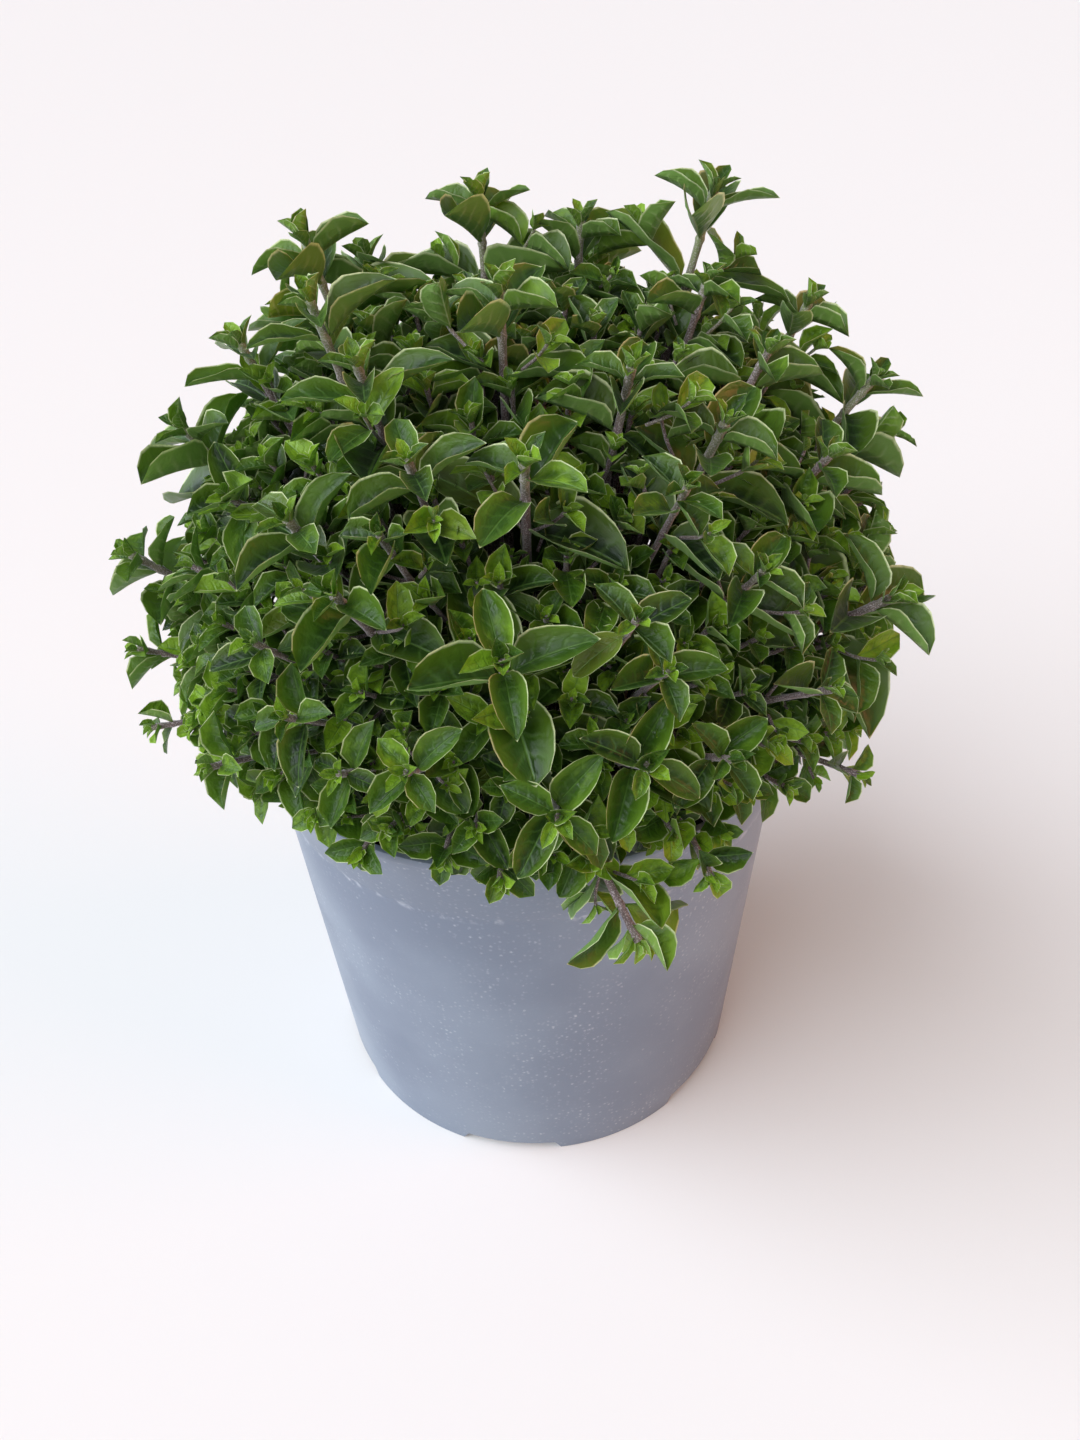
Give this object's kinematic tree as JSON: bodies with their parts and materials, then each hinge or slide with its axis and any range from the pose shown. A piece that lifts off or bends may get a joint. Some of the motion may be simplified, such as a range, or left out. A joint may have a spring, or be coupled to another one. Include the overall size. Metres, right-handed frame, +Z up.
{
  "type": "potted oregano plant",
  "caption": "Bushy oregano plant with opposite oval leaves on square stems, rooted in the soil of a round tapered nursery pot that stands on its notched foot.",
  "frame": {"origin": "middle of the pot's underside, on the surface it stands on", "axes": "+Z up, along the pot's axis; -Y is the side that the picture shows; +X is to the right there"},
  "size_m": [0.2385, 0.2513, 0.3158],
  "materials": {
    "pot_plastic": "slate grey moulded polypropylene, satin with fine scuffs",
    "potting_soil": "dark, moist, crumbly peat mix",
    "oregano_foliage": "soft green hairy leaves with paler undersides on purple-brown stems"
  },
  "bodies": {
    "root": {"pot": "pot_plastic", "soil": "potting_soil", "leafy_stem_01": "oregano_foliage", "leafy_stem_02": "oregano_foliage", "leafy_stem_03": "oregano_foliage", "leafy_stem_04": "oregano_foliage", "leafy_stem_05": "oregano_foliage", "leafy_stem_06": "oregano_foliage", "leafy_stem_07": "oregano_foliage", "leafy_stem_08": "oregano_foliage", "leafy_stem_09": "oregano_foliage", "leafy_stem_10": "oregano_foliage", "leafy_stem_11": "oregano_foliage", "leafy_stem_12": "oregano_foliage", "leafy_stem_13": "oregano_foliage", "leafy_stem_14": "oregano_foliage", "leafy_stem_15": "oregano_foliage", "leafy_stem_16": "oregano_foliage", "leafy_stem_17": "oregano_foliage", "leafy_stem_18": "oregano_foliage", "leafy_stem_19": "oregano_foliage", "leafy_stem_20": "oregano_foliage", "leafy_stem_21": "oregano_foliage", "leafy_stem_22": "oregano_foliage", "leafy_stem_23": "oregano_foliage", "leafy_stem_24": "oregano_foliage", "leafy_stem_25": "oregano_foliage", "leafy_stem_26": "oregano_foliage", "leafy_stem_27": "oregano_foliage", "leafy_stem_28": "oregano_foliage", "leafy_stem_29": "oregano_foliage", "leafy_stem_30": "oregano_foliage", "leafy_stem_31": "oregano_foliage", "leafy_stem_32": "oregano_foliage", "leafy_stem_33": "oregano_foliage", "leafy_stem_34": "oregano_foliage", "leafy_stem_35": "oregano_foliage", "leafy_stem_36": "oregano_foliage", "leafy_stem_37": "oregano_foliage", "leafy_stem_38": "oregano_foliage", "leafy_stem_39": "oregano_foliage", "leafy_stem_40": "oregano_foliage", "leafy_stem_41": "oregano_foliage", "leafy_stem_42": "oregano_foliage", "leafy_stem_43": "oregano_foliage", "leafy_stem_44": "oregano_foliage", "leafy_stem_45": "oregano_foliage", "leafy_stem_46": "oregano_foliage", "leafy_stem_47": "oregano_foliage", "leafy_stem_48": "oregano_foliage", "leafy_stem_49": "oregano_foliage", "leafy_stem_50": "oregano_foliage", "leafy_stem_51": "oregano_foliage", "leafy_stem_52": "oregano_foliage", "leafy_stem_53": "oregano_foliage", "leafy_stem_54": "oregano_foliage", "leafy_stem_55": "oregano_foliage", "leafy_stem_56": "oregano_foliage", "leafy_stem_57": "oregano_foliage", "leafy_stem_58": "oregano_foliage"}
  },
  "joints": []
}
